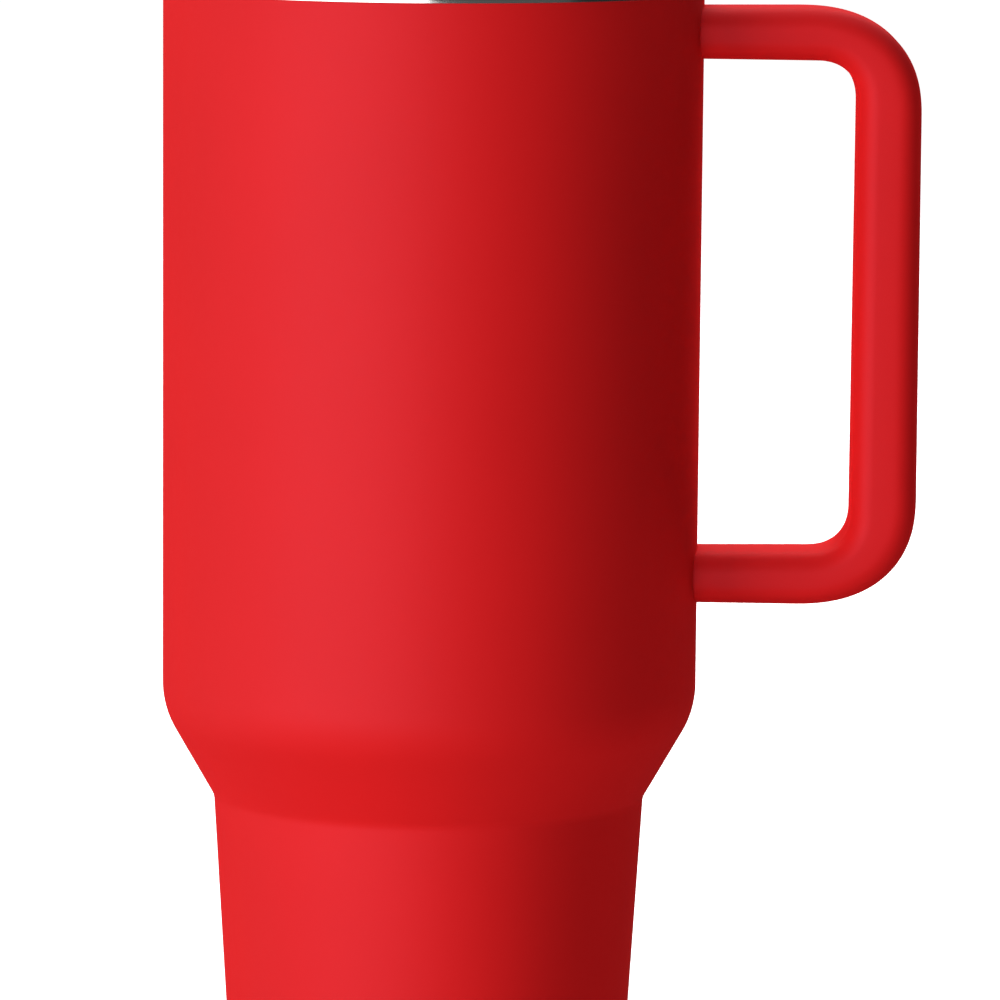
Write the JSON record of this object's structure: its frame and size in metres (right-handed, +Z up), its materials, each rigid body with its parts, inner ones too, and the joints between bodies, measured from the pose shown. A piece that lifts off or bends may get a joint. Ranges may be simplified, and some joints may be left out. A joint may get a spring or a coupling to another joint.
{
  "type": "insulated travel mug",
  "caption": "Double-walled steel travel mug with a loop handle, a cup-holder base, a press-in lid with a sliding sip closure, and a straw.",
  "frame": {"origin": "on the vessel's axis, in the plane of the foot ring that the mug stands on; the centre of the recessed base cover lies 1.2 mm above it", "axes": "+Z up along the vessel's axis, +X from the axis towards the handle, the sip opening on the -Y side and the straw on the +Y side"},
  "size_m": [0.1443, 0.103, 0.295],
  "materials": {
    "coat": "satin red powder coat",
    "steel": "bare stainless steel, finely brushed",
    "foil": "bright copper foil",
    "getter_alloy": "matt grey sintered metal",
    "seal_glass": "dark solder glass",
    "clear_plastic": "clear moulded plastic",
    "black_plastic": "satin black moulded plastic",
    "silicone": "matt black silicone",
    "nickel": "bright nickel plating"
  },
  "bodies": {
    "mug": {"outer_shell": "coat", "inner_liner": "steel", "reflective_foil": "foil", "getter": "getter_alloy", "base_plate": "steel", "vacuum_seal": "seal_glass", "base_cover": "steel", "handle_front_half": "coat", "handle_rear_half": "coat", "handle_upper_spigot": "steel", "handle_lower_spigot": "steel"},
    "lid": {"lid_top": "clear_plastic", "lid_underplate": "clear_plastic", "lid_gasket": "silicone", "straw_grommet": "silicone", "lid_magnet_closed": "nickel", "lid_magnet_open": "nickel"},
    "slider": {"slider": "black_plastic", "slider_seal": "silicone", "slider_magnet": "nickel"},
    "straw": {"straw": "clear_plastic", "straw_upper_stop": "silicone", "straw_lower_stop": "silicone"}
  },
  "joints": [
    {"name": "lid_lift", "type": "slide", "parent": "mug", "child": "lid", "axis": [0, 0, 1], "range_m": [0, 0.235]},
    {"name": "slider_slide", "type": "slide", "parent": "lid", "child": "slider", "axis": [0, 1, 0], "range_m": [0, 0.014]},
    {"name": "straw_lift", "type": "slide", "parent": "lid", "child": "straw", "axis": [0, 0, 1], "range_m": [0, 0.03]}
  ]
}
